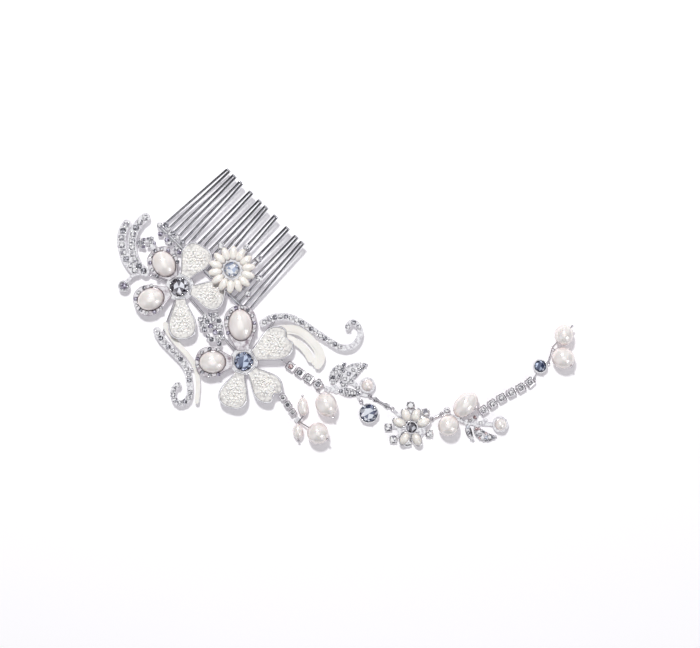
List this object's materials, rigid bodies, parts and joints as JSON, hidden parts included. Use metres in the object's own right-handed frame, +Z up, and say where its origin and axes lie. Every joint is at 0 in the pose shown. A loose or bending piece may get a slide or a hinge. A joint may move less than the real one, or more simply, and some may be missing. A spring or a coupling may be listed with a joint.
{
  "type": "decorative hair comb",
  "caption": "Bridal wire hair comb with bead and pearl flowers, stone-set scrolls and a flexible jointed trail of crystal cups, sprigs and pearls.",
  "frame": {"origin": "middle of the comb's footprint on the table it lies on, face up", "axes": "+X along the whole comb from the flower end to the trail's end, +Y towards the tips of the teeth, +Z up, away from the table"},
  "size_m": [0.1968, 0.1201, 0.0101],
  "materials": {
    "comb_wire": "bright drawn wire, silver plated",
    "silver_plate": "polished silver plate",
    "seed_bead": "cream seed beads, pearl lustre",
    "cream_enamel": "cream, softly glossy",
    "pearl": "freshwater pearl lustre, faint pink",
    "rice_pearl": "cream rice pearl lustre",
    "blue_crystal": "faceted, foil-backed, dark blue and violet",
    "clear_crystal": "faceted, foil-backed, clear"
  },
  "bodies": {
    "comb": {"comb_spine": "comb_wire", "tooth_wraps": "comb_wire", "comb_teeth": "comb_wire", "flower_hubs": "silver_plate", "bead_petals": "silver_plate", "bead_fills": "seed_bead", "pearl_petals": "silver_plate", "petal_pearls": "pearl", "rim_stones": "clear_crystal", "centre_settings": "silver_plate", "centre_stones": "blue_crystal", "small_flower_frame": "silver_plate", "small_flower_crystals": "clear_crystal", "small_flower_pearls": "rice_pearl", "frame_wires": "silver_plate", "right_scroll": "silver_plate", "left_scroll": "silver_plate", "scroll_stones": "clear_crystal", "cream_strip": "cream_enamel", "cream_leaf": "cream_enamel", "left_sprig": "silver_plate", "left_sprig_stones": "clear_crystal", "filler_branches": "silver_plate", "filler_stones": "clear_crystal", "chain_anchors": "silver_plate"},
    "chain_cup_1": {"chain_cup_1": "silver_plate"},
    "chain_cup_2": {"chain_cup_2": "silver_plate"},
    "chain_cup_3": {"chain_cup_3": "silver_plate"},
    "chain_cup_4": {"chain_cup_4": "silver_plate"},
    "trail_cup_1": {"trail_cup_1": "silver_plate"},
    "trail_cup_2": {"trail_cup_2": "silver_plate"},
    "trail_cup_3": {"trail_cup_3": "silver_plate"},
    "trail_cup_4": {"trail_cup_4": "silver_plate"},
    "trail_cup_5": {"trail_cup_5": "silver_plate"},
    "trail_cup_6": {"trail_cup_6": "silver_plate"},
    "spray_cup_1": {"spray_cup_1": "silver_plate"},
    "spray_cup_2": {"spray_cup_2": "silver_plate"},
    "spray_cup_3": {"spray_cup_3": "silver_plate"},
    "sprig_one": {"sprig_one_frame": "silver_plate", "sprig_one_stones": "clear_crystal", "sprig_one_pearl": "pearl"},
    "crystal_drop": {"crystal_drop_setting": "silver_plate", "crystal_drop_stone": "blue_crystal"},
    "pearl_drop": {"drop_pearl": "pearl", "drop_pearl_pin": "silver_plate"},
    "long_link": {"long_link": "silver_plate"},
    "daisy": {"daisy_frame": "silver_plate", "daisy_pearls": "rice_pearl", "daisy_stones": "clear_crystal"},
    "short_link": {"short_link": "silver_plate"},
    "sprig_two": {"sprig_two_frame": "silver_plate", "sprig_two_stones": "clear_crystal", "sprig_two_pearls": "pearl"},
    "tail": {"tail_setting": "silver_plate", "tail_stone": "blue_crystal"},
    "end_drop": {"end_pearls": "pearl", "end_pins": "silver_plate"},
    "spray": {"spray_stem": "silver_plate", "spray_pearls": "pearl"}
  },
  "joints": [
    {"name": "chain_cup_1_swing", "type": "hinge", "parent": "comb", "child": "chain_cup_1", "pos_m": [-0.0245, -0.0251, 0.00078], "axis": [0, 0, 1], "range_deg": [-2, 8]},
    {"name": "chain_cup_2_lift", "type": "hinge", "parent": "chain_cup_1", "child": "chain_cup_2", "pos_m": [-0.0206, -0.02773, 0.00078], "axis": [-0.5592, -0.829, 0], "range_deg": [-4, 16]},
    {"name": "chain_cup_3_swing", "type": "hinge", "parent": "chain_cup_2", "child": "chain_cup_3", "pos_m": [-0.01671, -0.03036, 0.00078], "axis": [0, 0, 1], "range_deg": [-2, 8]},
    {"name": "chain_cup_4_lift", "type": "hinge", "parent": "chain_cup_3", "child": "chain_cup_4", "pos_m": [-0.01268, -0.03278, 0.00078], "axis": [-0.4695, -0.8829, 0], "range_deg": [-4, 16]},
    {"name": "sprig_one_swing", "type": "hinge", "parent": "chain_cup_4", "child": "sprig_one", "pos_m": [-0.00853, -0.03498, 0.00078], "axis": [0, 0, 1], "range_deg": [-8, 8]},
    {"name": "pearl_drop_swing", "type": "hinge", "parent": "chain_cup_4", "child": "pearl_drop", "pos_m": [-0.01239, -0.03521, 0.00099], "axis": [0, 0, 1], "range_deg": [-3, 15]},
    {"name": "crystal_drop_swing", "type": "hinge", "parent": "sprig_one", "child": "crystal_drop", "pos_m": [0.00625, -0.04041, 0.00099], "axis": [0, 0, 1], "range_deg": [-20, 12]},
    {"name": "long_link_swing", "type": "hinge", "parent": "sprig_one", "child": "long_link", "pos_m": [0.01015, -0.03834, 0.00099], "axis": [0, 0, 1], "range_deg": [-22, 22]},
    {"name": "daisy_lift", "type": "hinge", "parent": "long_link", "child": "daisy", "pos_m": [0.01914, -0.04332, 0.00099], "axis": [-0.4848, -0.8746, 0], "range_deg": [-4, 20]},
    {"name": "short_link_swing", "type": "hinge", "parent": "daisy", "child": "short_link", "pos_m": [0.03676, -0.04802, 0.00099], "axis": [0, 0, 1], "range_deg": [-20, 20]},
    {"name": "sprig_two_lift", "type": "hinge", "parent": "short_link", "child": "sprig_two", "pos_m": [0.04039, -0.04617, 0.00099], "axis": [0.454, -0.891, 0], "range_deg": [-4, 18]},
    {"name": "trail_cup_1_swing", "type": "hinge", "parent": "sprig_two", "child": "trail_cup_1", "pos_m": [0.05854, -0.04454, 0.00078], "axis": [0, 0, 1], "range_deg": [-8, 8]},
    {"name": "trail_cup_2_lift", "type": "hinge", "parent": "trail_cup_1", "child": "trail_cup_2", "pos_m": [0.06239, -0.04185, 0.00078], "axis": [0.5446, -0.8387, 0], "range_deg": [-4, 16]},
    {"name": "trail_cup_3_swing", "type": "hinge", "parent": "trail_cup_2", "child": "trail_cup_3", "pos_m": [0.06633, -0.03929, 0.00078], "axis": [0, 0, 1], "range_deg": [-8, 8]},
    {"name": "trail_cup_4_lift", "type": "hinge", "parent": "trail_cup_3", "child": "trail_cup_4", "pos_m": [0.07044, -0.03701, 0.00078], "axis": [0.454, -0.891, 0], "range_deg": [-4, 16]},
    {"name": "trail_cup_5_swing", "type": "hinge", "parent": "trail_cup_4", "child": "trail_cup_5", "pos_m": [0.07463, -0.03487, 0.00078], "axis": [0, 0, 1], "range_deg": [-8, 8]},
    {"name": "trail_cup_6_lift", "type": "hinge", "parent": "trail_cup_5", "child": "trail_cup_6", "pos_m": [0.07865, -0.03245, 0.00078], "axis": [0.6157, -0.788, 0], "range_deg": [-4, 16]},
    {"name": "tail_swing", "type": "hinge", "parent": "trail_cup_6", "child": "tail", "pos_m": [0.08066, -0.03088, 0.00099], "axis": [0, 0, 1], "range_deg": [-20, 20]},
    {"name": "end_drop_swing", "type": "hinge", "parent": "tail", "child": "end_drop", "pos_m": [0.08687, -0.02399, 0.00099], "axis": [0, 0, 1], "range_deg": [-15, 15]},
    {"name": "spray_cup_1_swing", "type": "hinge", "parent": "comb", "child": "spray_cup_1", "pos_m": [-0.0276, -0.0384, 0.00078], "axis": [0, 0, 1], "range_deg": [-8, 1.5]},
    {"name": "spray_cup_2_lift", "type": "hinge", "parent": "spray_cup_1", "child": "spray_cup_2", "pos_m": [-0.02548, -0.04167, 0.00078], "axis": [-0.8387, -0.5446, 0], "range_deg": [-4, 16]},
    {"name": "spray_cup_3_swing", "type": "hinge", "parent": "spray_cup_2", "child": "spray_cup_3", "pos_m": [-0.02335, -0.04494, 0.00078], "axis": [0, 0, 1], "range_deg": [-8, 1.5]},
    {"name": "spray_swing", "type": "hinge", "parent": "spray_cup_3", "child": "spray", "pos_m": [-0.02123, -0.04821, 0.00078], "axis": [0, 0, 1], "range_deg": [-8, 1.5]}
  ]
}
